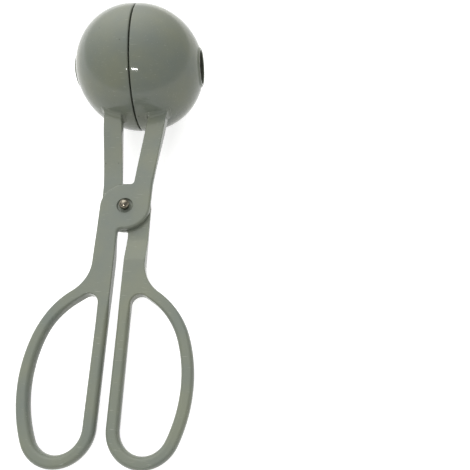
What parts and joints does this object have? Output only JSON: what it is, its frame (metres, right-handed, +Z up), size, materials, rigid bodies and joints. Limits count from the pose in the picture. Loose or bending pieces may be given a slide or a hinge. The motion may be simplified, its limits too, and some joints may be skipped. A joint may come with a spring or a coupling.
{
  "type": "meatball tongs",
  "caption": "Scissor tongs whose hollow cups close into a ball, each cup with a collared hole at its pole, on crossed arms with a riveted half-lap pivot and finger loops.",
  "frame": {"origin": "middle of the bounding box across and along, on the plane that the cups and the finger loops rest on", "axes": "+Y along the tongs towards the cups, +X to the right seen from the front, +Z up from the plane they rest on; the arms slope up by 8.84 degrees towards the cups"},
  "size_m": [0.0566, 0.178, 0.0516],
  "materials": {
    "back_arm": "glossy moulded plastic",
    "front_arm": "glossy moulded plastic",
    "pivot_rivet": "dull, slightly tarnished metal"
  },
  "bodies": {
    "back_half": {"back_arm": "back_arm", "pivot_rivet": "pivot_rivet"},
    "front_half": {"front_arm": "front_arm"}
  },
  "joints": [
    {"name": "pivot", "type": "hinge", "parent": "back_half", "child": "front_half", "pos_m": [0, -0.00177, 0.01568], "axis": [0, 0.1537, -0.9881], "range_deg": [0, 60]}
  ]
}
